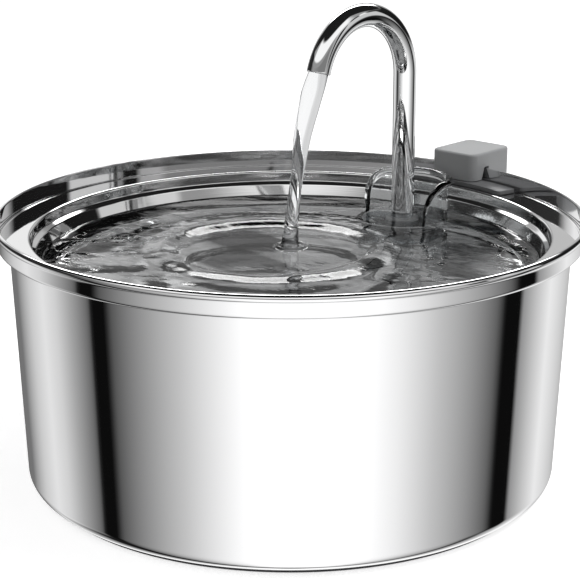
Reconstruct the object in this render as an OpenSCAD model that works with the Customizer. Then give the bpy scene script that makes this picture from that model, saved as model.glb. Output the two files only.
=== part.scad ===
// Pet water fountain: steel tank bowl, lift-out drinking tray, gooseneck faucet,
// clear overflow housing with a hanging filter, and a small submersible pump.
// Origin: centre of the base on the table, +Z up, +Y towards the faucet.

/* [Bowl] */
// Diameter of the band below the rolled rim
band_d = 229.4; // [180:0.2:300]
// Height of the bowl to the top of the rolled rim
bowl_h = 107; // [80:0.5:140]
// How far the band stands out beyond the body at the ledge
ledge_step = 5; // [4:0.1:8]
// How far the body narrows from the ledge to the foot, at each side
body_taper = 3.9; // [0:0.1:10]
// Radius of the rounded foot of the body
foot_round = 5; // [3:0.5:9]
// Thickness of the steel sheet
sheet = 0.8; // [0.6:0.1:1.2]
// Height of the upright band above the ledge, with the rim
band_h = 8.8; // [8:0.1:12]
// Thickness of the rolled rim
lip_d = 2.9; // [2:0.1:4]

/* [Base ring] */
// Thickness of the non-slip ring under the bowl
ring_h = 1.5; // [1:0.1:4]
// Width of the non-slip ring
ring_w = 12; // [6:0.5:20]

/* [Drinking tray] */
// Width of the flange from its outer edge to the dish
flange_w = 11.9; // [9:0.1:16]
// How far the dish wall leans in from the flange to its bend
upper_lean = 4.6; // [2:0.1:8]
// How far the dish wall leans in from its bend to the floor
lower_lean = 1.4; // [0.5:0.1:4]
// Depth of the dish from the flange to the floor
dish_depth = 25.8; // [22:0.2:32]
// Depth of the bend in the dish wall below the flange
bend_depth = 12.3; // [10:0.1:14]
// Radius between the dish floor and its wall
dish_round = 4; // [2:0.5:6]
// Width of the cord notch in the flange
notch_w = 8; // [6:0.5:10]

/* [Faucet] */
// Gap between the dish wall and the shroud in front of it
back_gap = 1.1; // [0.8:0.1:12]
// Outside diameter of the faucet tube
tube_d = 9.6; // [8:0.1:11]
// Wall of the faucet tube
tube_wall = 0.8; // [0.6:0.1:1.2]
// Height at which the upright tube starts to bend
bend_start_z = 151; // [120:0.5:200]
// Bend radius of the tube at its centre line
bend_r = 27; // [20:0.5:45]
// Angle swept by the bend, up to the mouth of the spout
bend_angle = 160; // [120:1:175]
// Turn of the spout away from the front, towards the left
faucet_turn = 5; // [0:1:30]

/* [Overflow housing] */
// Diameter of the clear shroud
shroud_d = 38.6; // [34:0.2:39]
// Height of the shroud top above the tray floor
shroud_h = 33.2; // [30:0.2:38]
// Height at which the arched edge turns straight down
shoulder_h = 22; // [18:0.2:26]
// Height of the low front lip above the tray floor
front_lip_h = 14.6; // [13:0.1:18]
// How far the lip along the arched edge stands out
rim_out = 1.9; // [0.5:0.1:2.4]
// Height of that lip
rim_h = 3; // [2:0.2:5]
// Wall of the clear plastic
clear_wall = 2; // [1.2:0.1:2.2]
// Half angle of the full height back of the shroud
back_half_angle = 63; // [50:1:80]
// Half angle at which the edge drops to the front lip
front_half_angle = 102; // [90:1:120]
// Turn of the housing away from the front, towards the left
housing_turn = 13; // [0:1:30]
// Outside diameter of the threaded neck
neck_d = 23; // [22:0.2:24]

/* [Filter] */
// Diameter of the filter basket
basket_d = 48; // [40:1:52]
// Height of the filter basket
basket_h = 12; // [11:0.5:13]

/* [Pump] */
// Width of the pump body across its shaft
pump_w = 32; // [30:1:38]
// Height of the pump body
pump_body_h = 28; // [28:0.5:29]
// Length of the pump body behind the impeller chamber
pump_len = 34; // [33:0.5:40]
// Depth of the slotted pump cover
cover_len = 12; // [12:0.5:16]
// Diameter of the impeller
impeller_d = 18; // [14:0.5:19]
// Number of impeller vanes
vane_count = 4; // [3:1:8]

/* [Rim clip] */
// Width of the clip block along the rim
clip_w = 23; // [18:0.5:30]
// Length of the clip block across the rim
clip_len = 27.5; // [26:0.5:31]
// Height of the clip block
clip_h = 12; // [11:0.5:16]
// Length of the flat plate under the block
plate_len = 62; // [45:1:80]
// Direction of the clip from the bowl axis, 90 is straight back
clip_angle = 86.5; // [80:0.5:100]

/* [Hidden] */
$fn = 96;

// clearances
cut = 1; // how far a cutting shape runs past the solid
run_gap = 0.3; // between parts that move past each other
press_gap = 0.05; // between parts held by a light press or a thread
swivel_gap = 0.05; // faucet tube in its collar, O-rings in their socket

// bowl
band_r = band_d / 2;
body_r = band_r - ledge_step;
base_r = body_r - body_taper;
lip_r = lip_d / 2;
ledge_z = bowl_h - band_h + sheet; // upper face of the ledge, the tray rests here
under_z = ledge_z - sheet;
lip_z = bowl_h - lip_r;
lip_ring_r = band_r - lip_r / 4;
band_round = 1.5;
ring_r = base_r - foot_round;

// tray
flange_gap = 0.5; // between the tray flange and the band round it
flange_r = band_r - sheet - flange_gap;
flange_z = ledge_z + sheet; // upper face of the flange
floor_z = flange_z - dish_depth; // upper face of the tray floor
bend_z = flange_z - bend_depth;
dish_r = flange_r - flange_w;
bend_dish_r = dish_r - upper_lean;
floor_r = bend_dish_r - lower_lean;
edge_bead_r = 0.95;
notch_depth = 7;

// housing, all heights measured up from the tray floor
gasket_h = 1;
shroud_r = shroud_d / 2;
faucet_back = bend_dish_r - shroud_r - back_gap; // distance of the faucet from the bowl axis
cone_h = 10; // where the flared foot reaches the shroud radius
foot_r = 14.8;
foot_floor = 2;
arch_steps = 12;
arch_over = 0.2; // the arch starts above the top, so that it meets it at a clear angle
arch_back_y = shroud_r * cos(back_half_angle);
arch_front_y = shroud_r * cos(front_half_angle);
neck_r = neck_d / 2;
neck_wall = 2;
neck_drop = 14; // neck length below the tray floor
socket_r = 7.2;
socket_bore_r = 5.4;
socket_top = 6;
socket_drop = 12;
socket_floor = 4;
spigot_r = 4.6;
spigot_bore_r = 3;
spigot_len = 9;
spoke_w = 1.8;
spoke_h = 5;
spoke_count = 3;
nut_r = 17;
nut_h = 7;
nut_grip_r = 1.6;
nut_grips = 12;
strainer_z = floor_z + cone_h + 1;
strainer_h = 1.2;
strainer_hole_r = 1.3;
strainer_holes = 16;

// faucet
tube_r = tube_d / 2;
tube_in_r = tube_r - tube_wall;
plug_r = socket_bore_r - run_gap;
plug_end_gap = 0.5;
plug_low_z = floor_z - socket_drop + socket_floor + plug_end_gap;
plug_seat_z = floor_z + socket_top;
plug_flange_h = 2;
collar_r = 7;
collar_h = 6;
plug_bore_r = 3;
oring_r = 0.9;
oring_ring_r = socket_bore_r - swivel_gap - oring_r;
oring_low = 3;
oring_step = 4;
tube_end_gap = 0.2;
tube_low_z = plug_seat_z + plug_flange_h + tube_end_gap;

// riser, from the housing spigot down over the pump outlet
riser_r = 6;
riser_bore_r = 3.2;
riser_end_gap = 0.1;
riser_top_z = floor_z - socket_drop - riser_end_gap;
spigot_low_z = floor_z - socket_drop - spigot_len;
cup_h = 3.7;
pump_foot_z = ring_h + sheet + cup_h; // underside of the pump body
pump_top_z = pump_foot_z + pump_body_h;
outlet_r = 4.25;
outlet_bore_r = 2.6;
outlet_h = 7.5;
riser_foot_gap = 3;
riser_low_z = pump_top_z + riser_foot_gap;

// filter, hung on the neck
lid_h = 1.4;
lid_collar_h = 6;
lid_collar_wall = 2;
basket_r = basket_d / 2;
basket_wall = 1.4;
neck_low_z = floor_z - neck_drop;
basket_low_z = neck_low_z - basket_h;
basket_hole_gap = 0.4;
basket_hole_r = riser_r + basket_hole_gap;
media_hole_gap = 1;
media_hole_r = riser_r + media_hole_gap;
media_r = basket_r - basket_wall - run_gap;
media_gap = 0.1;
media_h = (basket_h - basket_wall) / 2 - media_gap;
slot_w = 2;
slot_in = 3;
slot_out = 4;
slot_count = 12;

// pump, shaft along X, chamber centred under the faucet
axis_h = 13;
axis_z = pump_foot_z + axis_h;
pump_wall = 2.5;
front_x = -5; // front face of the body
back_x = pump_len;
chamber_r = 11;
chamber_end_x = 4;
well_r = 6.2;
well_end_x = 24;
well_wall = 1.4;
well_cap = 1.1;
pocket_x = 8;
pocket_w = pump_w - 2 * pump_wall;
pocket_low_z = pump_foot_z + pump_wall;
pocket_h = pump_body_h - 2 * pump_wall;
body_round = 3;
cap_h = 2;
gland_r = 3.5;
gland_bore_r = 1.9;
gland_len = 9;
shaft_r = 1;
spin_gap = 0.3; // rotor and impeller against fixed parts
bush_r = 3;
bush_h = 1.5;
magnet_r = well_r - spin_gap - 0.1;
magnet_gap = 0.5;
hub_r = 3.2;
hub_gap = 1;
disc_h = 1.2;
disc_gap = 0.4;
disc_edge = 1;
vane_sink = 0.2;
vane_root = 1;
vane_w = 1.2;
vane_h = 5.5;
cover_x = front_x - cover_len;
cover_wall = 1.6;
holder_r = 4;
holder_h = 3;
front_bush_r = 2.6;
knob_r = 5;
knob_h = 3;
stem_r = 1.8;
shutter_r = 6;
shutter_h = 1;
shutter_gap = 0.2;
knob_gap = 0.2;
knob_groove_w = 1.6;
knob_groove_h = 1.4;
slat = 2;
slat_pitch = 3.2;
slat_h = 16;
front_slots = 3;
side_slots = 3;
side_slot_w = 1.4;
side_slot_pitch = 2.6;
side_slot_h = 8;
bar_h = 3;
foam_gap = 0.2;
foam_edge = 3;
core_h = 11;
core_leg = 4;
core_gap = 0.5;
core_end_gap = 1.4;
core_w = pocket_w - 2 * core_gap;
core_end = back_x - cap_h - core_end_gap;
coil_wind = 1.3;
coil_gap = 1;
outlet_into_chamber = 2;
gland_lip = 1.5;
cup_r = 5;
cup_spread_x = 11;
cup_spread_y = 10;
cup_stem_r = 2.2;
cup_hollow_tip_r = 0.5;
cup_lip = 1;

// clip
clip_out = 3.5; // centre of the block beyond the band
clip_r_mid = band_r + clip_out;
clip_in_r = clip_r_mid - clip_len / 2;
clip_lift = 2.1;
clip_z = flange_z + clip_lift;
clip_round = 3.6;
edge_round = 0.8;
slot_gap = 0.6;
slot_lean = 2.2; // how far the inner side of the rim slot leans in at the bottom
channel_w = 7;
channel_in = 4.5;
channel_rise = 4;
channel_top_z = bowl_h + channel_rise;
plate_h = 1.9;
plate_w = 8.8;
plate_round = 3;
plate_edge = 0.8;
hole_depth = 6;
plate_out_r = flange_r - plate_edge;
peg_r = 1.6;
peg_step = 7;
peg_in = 3.2;

// solid outline of a cup with a rounded foot, turned about the Z axis
module cup_outline(low_r, top_r, h, round_r) {
    lean = atan2(top_r - low_r, h);
    run = round_r * tan(45 - lean / 2);
    polygon([[0, 0],
        [low_r - run, 0],
        [low_r + run * sin(lean), run * cos(lean)],
        [top_r, h],
        [0, h]]);
    translate([low_r - run, round_r]) circle(r = round_r, $fn = 48);
}

// flat outline with rounded corners, centred on the origin
module round_rect(w, d, r) {
    square([w - 2 * r, d], center = true);
    square([w, d - 2 * r], center = true);
    for (sx = [-1, 1], sy = [-1, 1]) {
        translate([sx * (w / 2 - r), sy * (d / 2 - r)]) circle(r = r, $fn = 32);
    }
}

// cylinder along +X from the given x
module x_rod(x, r, len) {
    translate([x, 0, 0]) rotate([0, 90, 0]) cylinder(r = r, h = len, $fn = 48);
}

// places a shape on the faucet axis
module at_faucet() {
    translate([0, faucet_back, 0]) children();
}

// places a shape on the pump shaft axis
module at_shaft() {
    translate([0, faucet_back, axis_z]) children();
}

// places a shape on the rim, +X pointing outwards
module at_clip() {
    rotate([0, 0, clip_angle]) children();
}

module outer_bowl() {
    color("silver")
    rotate_extrude($fn = 128)
    difference() {
        union() {
            translate([0, ring_h]) cup_outline(base_r, body_r, under_z - ring_h, foot_round);
            translate([0, under_z]) cup_outline(band_r, band_r, lip_z - under_z, band_round);
            translate([lip_ring_r, lip_z]) circle(r = lip_r, $fn = 32);
        }
        translate([0, ring_h + sheet])
        cup_outline(base_r - sheet, body_r - sheet, under_z - ring_h - sheet, foot_round - sheet);
        translate([0, under_z - cut]) square([body_r - sheet, 2 * cut]);
        translate([0, ledge_z]) square([band_r - sheet, bowl_h]);
    }
}

module base_ring() {
    color("dimgray")
    rotate_extrude($fn = 96)
    translate([ring_r - ring_w, 0]) square([ring_w, ring_h]);
}

// profile of the dish, widened by the given amount
module dish_outline(grow, drop) {
    translate([0, floor_z - drop])
    cup_outline(floor_r + grow, bend_dish_r + grow, bend_z - floor_z + drop, dish_round + grow);
    polygon([[0, bend_z], [bend_dish_r + grow, bend_z], [dish_r + grow, flange_z], [0, flange_z]]);
}

module drinking_tray() {
    color("gainsboro")
    difference() {
        rotate_extrude($fn = 128)
        difference() {
            union() {
                difference() {
                    union() {
                        dish_outline(sheet, sheet);
                        translate([0, ledge_z]) square([flange_r, sheet]);
                    }
                    translate([dish_r - cut, flange_z - edge_bead_r])
                    square([cut + edge_bead_r, edge_bead_r + cut]);
                }
                // rolled inner edge of the flange
                translate([dish_r + edge_bead_r, flange_z - edge_bead_r])
                circle(r = edge_bead_r, $fn = 32);
            }
            dish_outline(0, 0);
        }
        at_faucet()
        translate([0, 0, floor_z - sheet - cut])
        cylinder(r = neck_r + run_gap, h = sheet + 2 * cut);
        // the cord comes up here, hidden under the clip plate
        at_clip()
        translate([flange_r - notch_depth, -notch_w / 2, ledge_z - cut])
        cube([notch_depth + cut, notch_w, sheet + 2 * cut]);
    }
}

// edge of the shroud seen from the side: level behind, then an arch down to the shoulder
function arch(drop) = [for (i = [0:arch_steps]) [
    arch_back_y + (arch_front_y - arch_back_y) * sin(90 * i / arch_steps),
    shoulder_h + (shroud_h + arch_over - shoulder_h) * cos(90 * i / arch_steps) - drop]];

// upright slab with the given side view, turned with the housing
module side_slab() {
    rotate([0, 0, -housing_turn])
    rotate([90, 0, 90])
    linear_extrude(height = 4 * shroud_r, center = true)
    children();
}

// everything above the edge and the low front lip
module shroud_cut() {
    side_slab()
    polygon(concat([[arch_back_y, shroud_h + 2 * cut]], arch(0),
        [[arch_front_y, front_lip_h],
        [-2 * shroud_r, front_lip_h],
        [-2 * shroud_r, shroud_h + 2 * cut]]));
}

// thick lip that follows the arched edge on the outside
module shroud_lip() {
    intersection() {
        difference() {
            cylinder(r = shroud_r + rim_out, h = shroud_h);
            translate([0, 0, -cut]) cylinder(r = shroud_r - clear_wall / 2, h = shroud_h + 2 * cut);
        }
        side_slab()
        polygon(concat([[2 * shroud_r, shroud_h + cut], [2 * shroud_r, shroud_h - rim_h]],
            arch(rim_h), [[arch_front_y, shroud_h + cut]]));
    }
}

module overflow_housing() {
    wall_low = gasket_h + foot_floor;
    color("lightblue", 0.5)
    at_faucet()
    translate([0, 0, floor_z])
    difference() {
        union() {
            rotate_extrude()
            difference() {
                union() {
                    // flared foot and shroud
                    polygon([[0, gasket_h], [foot_r, gasket_h], [foot_r, wall_low],
                        [shroud_r, cone_h], [shroud_r, shroud_h], [0, shroud_h]]);
                    // neck
                    translate([0, -neck_drop]) square([neck_r, neck_drop + gasket_h + cut]);
                }
                polygon([[0, wall_low], [foot_r - clear_wall, wall_low],
                    [shroud_r - clear_wall, cone_h],
                    [shroud_r - clear_wall, shroud_h + cut], [0, shroud_h + cut]]);
                translate([0, -neck_drop - cut])
                square([neck_r - neck_wall, neck_drop + wall_low + 2 * cut]);
            }
            shroud_lip();
            // socket for the faucet plug, with the spigot for the riser below it
            translate([0, 0, -socket_drop]) cylinder(r = socket_r, h = socket_drop + socket_top);
            translate([0, 0, -socket_drop - spigot_len]) cylinder(r = spigot_r, h = spigot_len + cut);
            for (i = [0:spoke_count - 1]) {
                rotate([0, 0, 90 + 360 * i / spoke_count])
                translate([socket_r - cut, -spoke_w / 2, -spoke_h])
                cube([neck_r - neck_wall - socket_r + 2 * cut, spoke_w, spoke_h]);
            }
        }
        translate([0, 0, -socket_drop + socket_floor])
        cylinder(r = socket_bore_r, h = socket_drop + socket_top);
        translate([0, 0, -socket_drop - spigot_len - cut])
        cylinder(r = spigot_bore_r, h = spigot_len + socket_floor + 2 * cut);
        shroud_cut();
    }
}

module housing_gasket() {
    color("darkslategray")
    at_faucet()
    translate([0, 0, floor_z])
    difference() {
        cylinder(r = foot_r, h = gasket_h);
        translate([0, 0, -cut]) cylinder(r = neck_r + press_gap, h = gasket_h + 2 * cut);
    }
}

module housing_nut() {
    color("whitesmoke")
    at_faucet()
    translate([0, 0, floor_z - sheet - nut_h])
    difference() {
        cylinder(r = nut_r, h = nut_h);
        translate([0, 0, -cut]) cylinder(r = neck_r + press_gap, h = nut_h + 2 * cut);
        for (i = [0:nut_grips - 1]) {
            rotate([0, 0, 360 * i / nut_grips])
            translate([nut_r + nut_grip_r / 2, 0, -cut])
            cylinder(r = nut_grip_r, h = nut_h + 2 * cut, $fn = 24);
        }
    }
}

module strainer_disc() {
    color("white", 0.7)
    at_faucet()
    translate([0, 0, strainer_z])
    difference() {
        cylinder(r = shroud_r - clear_wall - press_gap, h = strainer_h);
        translate([0, 0, -cut]) cylinder(r = collar_r + run_gap, h = strainer_h + 2 * cut);
        for (i = [0:strainer_holes - 1]) {
            rotate([0, 0, 360 * i / strainer_holes])
            translate([(shroud_r + collar_r) / 2, 0, -cut])
            cylinder(r = strainer_hole_r, h = strainer_h + 2 * cut, $fn = 16);
        }
    }
}

module filter_lid() {
    color("whitesmoke")
    at_faucet()
    translate([0, 0, neck_low_z])
    difference() {
        union() {
            cylinder(r = basket_r, h = lid_h);
            cylinder(r = neck_r + run_gap + lid_collar_wall, h = lid_collar_h);
        }
        translate([0, 0, -cut]) cylinder(r = neck_r + run_gap, h = lid_collar_h + 2 * cut);
    }
}

module filter_basket() {
    color("white")
    at_faucet()
    translate([0, 0, basket_low_z])
    difference() {
        cylinder(r = basket_r, h = basket_h);
        translate([0, 0, basket_wall]) cylinder(r = basket_r - basket_wall, h = basket_h);
        translate([0, 0, -cut]) cylinder(r = basket_hole_r, h = basket_wall + 2 * cut);
        // radial slots let the filtered water fall back into the tank
        for (i = [0:slot_count - 1]) {
            rotate([0, 0, 360 * i / slot_count])
            translate([basket_hole_r + slot_in, -slot_w / 2, -cut])
            cube([basket_r - basket_hole_r - slot_in - slot_out, slot_w, basket_wall + 2 * cut]);
        }
    }
}

// ring of filter material
module media_ring(z) {
    at_faucet()
    translate([0, 0, z])
    difference() {
        cylinder(r = media_r, h = media_h);
        translate([0, 0, -cut]) cylinder(r = media_hole_r, h = media_h + 2 * cut);
    }
}

module filter_foam() {
    color("steelblue") media_ring(basket_low_z + basket_wall + media_h + media_gap);
}

module carbon_filter() {
    color("black") media_ring(basket_low_z + basket_wall);
}

module riser_tube() {
    color("lightgray")
    at_faucet()
    difference() {
        translate([0, 0, riser_low_z]) cylinder(r = riser_r, h = riser_top_z - riser_low_z);
        translate([0, 0, riser_low_z - cut])
        cylinder(r = riser_bore_r, h = riser_top_z - riser_low_z + 2 * cut);
        // wider ends: over the housing spigot above, over the pump outlet below
        translate([0, 0, spigot_low_z - riser_end_gap])
        cylinder(r = spigot_r + press_gap, h = spigot_len + cut);
        translate([0, 0, riser_low_z - cut])
        cylinder(r = outlet_r + run_gap, h = outlet_h - riser_foot_gap + run_gap + cut);
    }
}

module faucet_plug() {
    color("whitesmoke")
    at_faucet()
    difference() {
        union() {
            translate([0, 0, plug_low_z]) cylinder(r = plug_r, h = plug_seat_z - plug_low_z + cut);
            translate([0, 0, plug_seat_z]) cylinder(r = collar_r, h = plug_flange_h + collar_h);
        }
        translate([0, 0, plug_low_z - cut])
        cylinder(r = plug_bore_r, h = plug_seat_z + plug_flange_h - plug_low_z + 2 * cut);
        translate([0, 0, plug_seat_z + plug_flange_h])
        cylinder(r = tube_r + swivel_gap, h = collar_h + cut);
        for (i = [0, 1]) {
            translate([0, 0, plug_low_z + oring_low + i * oring_step])
            rotate_extrude()
            translate([oring_ring_r, 0]) circle(r = oring_r, $fn = 24);
        }
    }
}

module faucet_o_rings() {
    color("black")
    at_faucet()
    for (i = [0, 1]) {
        translate([0, 0, plug_low_z + oring_low + i * oring_step])
        rotate_extrude()
        translate([oring_ring_r, 0]) circle(r = oring_r - press_gap, $fn = 24);
    }
}

// the gooseneck as one bar of the given radius, grown by over at its low end
module gooseneck(r, over) {
    translate([0, 0, tube_low_z - over])
    cylinder(r = r, h = bend_start_z - tube_low_z + over, $fn = 48);
    translate([0, -bend_r, bend_start_z])
    rotate([90, 0, 90])
    rotate_extrude(angle = bend_angle, $fn = 96)
    translate([bend_r, 0]) circle(r = r, $fn = 48);
}

module faucet_tube() {
    color("lightgray")
    at_faucet()
    rotate([0, 0, -faucet_turn])
    difference() {
        gooseneck(tube_r, 0);
        gooseneck(tube_in_r, cut);
    }
}

// rounded block standing on the pump foot height, from x0 to x1
module pump_block(x0, x1, w, z0, h) {
    translate([x0, faucet_back, z0 + h / 2])
    rotate([90, 0, 90])
    linear_extrude(height = x1 - x0)
    round_rect(w, h, body_round);
}

module pump_body() {
    color("dimgray")
    difference() {
        union() {
            pump_block(front_x, back_x, pump_w, pump_foot_z, pump_body_h);
            at_faucet() translate([0, 0, pump_top_z - cut]) cylinder(r = outlet_r, h = outlet_h + cut);
        }
        at_faucet()
        translate([0, 0, axis_z + chamber_r - outlet_into_chamber])
        cylinder(r = outlet_bore_r, h = pump_body_h + outlet_h);
        at_shaft() x_rod(front_x - cut, chamber_r, chamber_end_x - front_x + cut);
        at_shaft() x_rod(chamber_end_x - cut, well_r, well_end_x - chamber_end_x + cut);
        // pocket for the stator round the outside of the rotor well
        difference() {
            translate([pocket_x, faucet_back - pocket_w / 2, pocket_low_z])
            cube([back_x - pocket_x + cut, pocket_w, pocket_h]);
            at_shaft() x_rod(0, well_r + well_wall, well_end_x + well_cap);
        }
    }
}

module stator_core() {
    color("slategray")
    at_shaft()
    difference() {
        translate([pocket_x + core_gap / 2, -core_w / 2, -core_h / 2])
        cube([core_end - pocket_x - core_gap / 2, core_w, core_h]);
        translate([pocket_x - cut, -core_w / 2 + core_leg, -core_h / 2 - cut])
        cube([core_end - core_leg - pocket_x + cut, core_w - 2 * core_leg, core_h + 2 * cut]);
    }
}

module stator_coil() {
    coil_w = core_w - 2 * core_leg - 2 * coil_gap;
    color("peru")
    at_shaft()
    difference() {
        translate([core_end - core_leg - coil_wind, -coil_w / 2, -core_h / 2 - coil_wind])
        cube([core_leg + 2 * coil_wind, coil_w, core_h + 2 * coil_wind]);
        translate([core_end - core_leg - press_gap, -coil_w, -core_h / 2 - press_gap])
        cube([core_leg + 2 * press_gap, 2 * coil_w, core_h + 2 * press_gap]);
    }
}

module potting_cap() {
    color("darkslategray")
    difference() {
        translate([back_x - cap_h, faucet_back - pocket_w / 2 + press_gap, pocket_low_z + press_gap])
        cube([cap_h, pocket_w - 2 * press_gap, pocket_h - 2 * press_gap]);
        at_shaft() x_rod(back_x - cap_h - cut, gland_r, cap_h + 2 * cut);
    }
}

module cord_gland() {
    color("black")
    at_shaft()
    difference() {
        union() {
            x_rod(back_x - cap_h, gland_r - press_gap, gland_len);
            x_rod(back_x + press_gap, gland_r + gland_lip, gland_lip);
        }
        x_rod(back_x - cap_h - cut, gland_bore_r, gland_len + 2 * cut);
    }
}

module rear_bush() {
    color("black")
    at_shaft()
    difference() {
        x_rod(well_end_x - bush_h, bush_r, bush_h);
        x_rod(well_end_x - bush_h - cut, shaft_r + press_gap, bush_h + 2 * cut);
    }
}

module impeller_shaft() {
    color("white")
    at_shaft() x_rod(front_x - holder_h, shaft_r, well_end_x - front_x + holder_h);
}

module rotor_magnet() {
    color("darkgray")
    at_shaft()
    difference() {
        x_rod(chamber_end_x + magnet_gap, magnet_r, well_end_x - bush_h - chamber_end_x - 2 * magnet_gap);
        x_rod(chamber_end_x, shaft_r + spin_gap, well_end_x);
    }
}

module impeller() {
    color("royalblue")
    at_shaft()
    difference() {
        union() {
            x_rod(front_x + hub_gap, hub_r, chamber_end_x + magnet_gap - front_x - hub_gap);
            // back disc carries the vanes
            x_rod(chamber_end_x - disc_gap - disc_h, impeller_d / 2 - disc_edge, disc_h);
            for (i = [0:vane_count - 1]) {
                rotate([360 * i / vane_count, 0, 0])
                translate([chamber_end_x - disc_gap - disc_h + vane_sink - vane_h,
                    -vane_w / 2, hub_r - vane_root])
                cube([vane_h, vane_w, impeller_d / 2 - hub_r + vane_root]);
            }
        }
        x_rod(front_x - cut, shaft_r + spin_gap, chamber_end_x - front_x + 3 * cut);
    }
}

module pump_cover() {
    color("dimgray")
    difference() {
        union() {
            difference() {
                pump_block(cover_x, front_x, pump_w, pump_foot_z, pump_body_h);
                pump_block(cover_x + cover_wall, front_x + cut, pump_w - 2 * cover_wall,
                    pump_foot_z + cover_wall, pump_body_h - 2 * cover_wall);
            }
            // bush holder on a cross bar just inside the chamber mouth
            at_shaft() x_rod(front_x - holder_h, holder_r, holder_h - run_gap);
            at_shaft()
            translate([front_x - holder_h, -pump_w / 2 + cover_wall / 2, -bar_h / 2])
            cube([holder_h - run_gap, pump_w - cover_wall, bar_h]);
        }
        // upright intake slots in the front face, clear of the flow knob
        for (s = [-1, 1], i = [0:front_slots - 1]) {
            translate([cover_x - cut, faucet_back + s * (knob_r + slat + i * slat_pitch) - slat / 2,
                axis_z - slat_h / 2])
            cube([cover_wall + 2 * cut, slat, slat_h]);
        }
        // side intake slots
        for (i = [0:side_slots - 1]) {
            translate([cover_x + cover_wall + i * side_slot_pitch, faucet_back - pump_w, axis_z + bar_h])
            cube([side_slot_w, 2 * pump_w, side_slot_h]);
        }
        at_shaft() x_rod(cover_x - cut, stem_r + run_gap, cover_wall + 2 * cut);
        at_shaft() x_rod(front_x - holder_h - cut, front_bush_r, holder_h + 2 * cut);
    }
}

module front_bush() {
    color("black")
    at_shaft()
    difference() {
        x_rod(front_x - holder_h, front_bush_r - press_gap, holder_h - run_gap);
        x_rod(front_x - holder_h - cut, shaft_r + run_gap, holder_h + 2 * cut);
    }
}

module pump_foam() {
    foam_x = cover_x + cover_wall + shutter_gap + shutter_h + 2 * run_gap;
    foam_end = front_x - holder_h - run_gap;
    color("darkslategray")
    translate([foam_x, faucet_back - pump_w / 2 + cover_wall + foam_gap,
        pump_foot_z + cover_wall + foam_edge])
    cube([foam_end - foam_x, pump_w - 2 * cover_wall - 2 * foam_gap,
        pump_body_h - 2 * cover_wall - 2 * foam_edge]);
}

module flow_knob() {
    color("white")
    at_shaft() {
        difference() {
            x_rod(cover_x - knob_gap - knob_h, knob_r, knob_h);
            // finger slot across the knob
            translate([cover_x - knob_gap - knob_h - cut, -knob_groove_w / 2, -knob_r - cut])
            cube([knob_groove_h + cut, knob_groove_w, 2 * knob_r + 2 * cut]);
        }
        x_rod(cover_x - knob_gap - cut, stem_r, cover_wall + knob_gap + shutter_gap + 1.5 * cut);
        // half round shutter behind the slots
        difference() {
            x_rod(cover_x + cover_wall + shutter_gap, shutter_r, shutter_h);
            translate([cover_x, -2 * shutter_r, -stem_r - 2 * shutter_r])
            cube([cover_len, 4 * shutter_r, 2 * shutter_r]);
        }
    }
}

module suction_cups() {
    color("darkslategray")
    for (sx = [-1, 1], sy = [-1, 1]) {
        translate([(front_x + back_x) / 2 + sx * cup_spread_x,
            faucet_back + sy * cup_spread_y, ring_h + sheet])
        difference() {
            union() {
                cylinder(r1 = cup_r, r2 = cup_stem_r, h = cup_h / 2, $fn = 32);
                cylinder(r = cup_stem_r, h = cup_h, $fn = 24);
            }
            translate([0, 0, -cup_h / 100])
            cylinder(r1 = cup_r - cup_lip, r2 = cup_hollow_tip_r, h = cup_h / 3, $fn = 32);
        }
    }
}

module clip_block() {
    color("darkgray")
    at_clip()
    difference() {
        union() {
            translate([clip_r_mid, 0, clip_z])
            linear_extrude(height = clip_h - edge_round)
            round_rect(clip_len, clip_w, clip_round);
            // slightly smaller top layer eases the upper edge
            translate([clip_r_mid, 0, clip_z + clip_h - edge_round - cut])
            linear_extrude(height = edge_round + cut)
            round_rect(clip_len - edge_round, clip_w - edge_round, clip_round);
            for (s = [-1, 1]) {
                translate([clip_in_r + peg_in, s * peg_step, clip_z - plate_h])
                cylinder(r = peg_r, h = plate_h + cut, $fn = 32);
            }
        }
        // slot for the rolled rim of the bowl
        rotate_extrude($fn = 128)
        polygon([[band_r - sheet - slot_gap - slot_lean, clip_z - cut],
            [band_r - sheet - slot_gap, bowl_h + slot_gap],
            [lip_ring_r + lip_r + slot_gap, bowl_h + slot_gap],
            [lip_ring_r + lip_r + slot_gap, clip_z - cut]]);
        // channel that leads the cord over the rim
        translate([clip_in_r + channel_in, -channel_w / 2, clip_z - cut])
        cube([clip_len, channel_w, channel_top_z - clip_z + cut]);
    }
}

module clip_plate() {
    plate_mid = plate_out_r - plate_w / 2;
    color("gray")
    at_clip()
    difference() {
        translate([plate_mid, 0, clip_z - plate_h - press_gap])
        intersection() {
            linear_extrude(height = plate_h) round_rect(plate_w, plate_len, plate_round);
            translate([-plate_mid, 0, -cut]) cylinder(r = plate_out_r, h = plate_h + 2 * cut, $fn = 128);
        }
        for (s = [-1, 1]) {
            translate([clip_in_r + peg_in, s * peg_step, flange_z - cut])
            cylinder(r = peg_r + press_gap, h = plate_h + 3 * cut, $fn = 32);
        }
        // cord hole over the notch in the tray flange
        translate([flange_r - hole_depth, -channel_w / 2, flange_z - cut])
        cube([hole_depth + cut, channel_w, plate_h + 3 * cut]);
    }
}

outer_bowl();
base_ring();
drinking_tray();
overflow_housing();
housing_gasket();
housing_nut();
strainer_disc();
filter_lid();
filter_basket();
filter_foam();
carbon_filter();
riser_tube();
faucet_plug();
faucet_o_rings();
faucet_tube();
pump_body();
stator_core();
stator_coil();
potting_cap();
cord_gland();
rear_bush();
impeller_shaft();
rotor_magnet();
impeller();
pump_cover();
front_bush();
pump_foam();
flow_knob();
suction_cups();
clip_block();
clip_plate();
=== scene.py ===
import bpy, bmesh, math
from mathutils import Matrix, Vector, noise


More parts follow.
